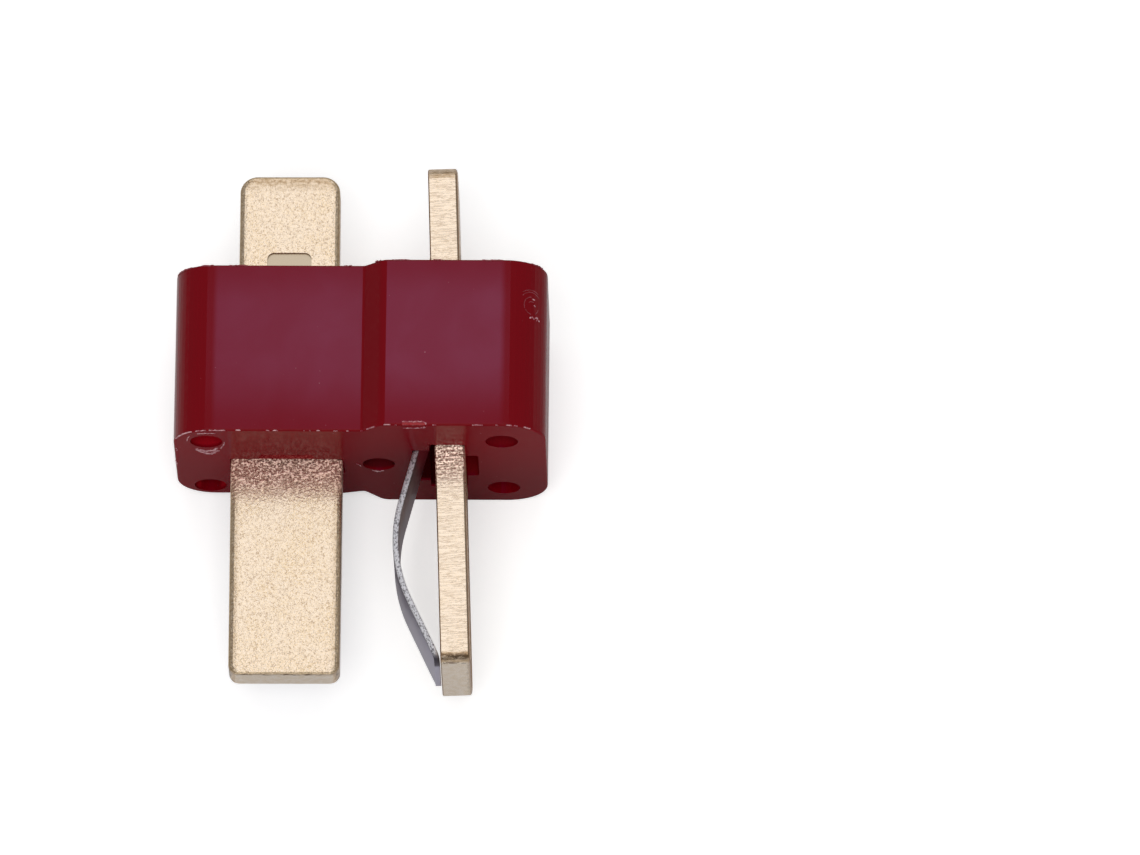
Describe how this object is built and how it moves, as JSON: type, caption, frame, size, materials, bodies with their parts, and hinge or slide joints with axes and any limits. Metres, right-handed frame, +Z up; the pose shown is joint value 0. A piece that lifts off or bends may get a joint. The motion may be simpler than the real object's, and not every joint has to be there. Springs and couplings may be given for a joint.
{
  "type": "t plug battery connector",
  "caption": "Moulded plug housing with a stepped outline, gold contact blades set as a T and bowed steel leaf springs, for joining battery leads.",
  "frame": {"origin": "centre of the plug's bounding box, on the plane that it lies on", "axes": "+X across the housing from its thin half to its thick half, +Y from the prongs to the solder tabs, +Z up through the housing's thickness"},
  "size_m": [0.016, 0.023, 0.009],
  "materials": {
    "red_nylon": "glossy wine red nylon",
    "gold_plate": "pale gold plating with a fine grain",
    "spring_steel": "grey rolled strip"
  },
  "bodies": {
    "plug": {"housing": "red_nylon", "contact_blade_flat": "gold_plate", "contact_blade_upright": "gold_plate"},
    "leaf_flat": {"leaf_spring_flat": "spring_steel"},
    "leaf_upright": {"leaf_spring_upright": "spring_steel"}
  },
  "joints": [
    {"name": "leaf_flat_press", "type": "slide", "parent": "plug", "child": "leaf_flat", "axis": [0, 0, 1], "range_m": [0, 0.0009], "stiffness_N_per_m": 12000, "deforming": ["leaf_spring_flat"]},
    {"name": "leaf_upright_press", "type": "slide", "parent": "plug", "child": "leaf_upright", "axis": [0.9993, 0.0375, 0], "range_m": [0, 0.0009], "stiffness_N_per_m": 12000, "deforming": ["leaf_spring_upright"]}
  ]
}
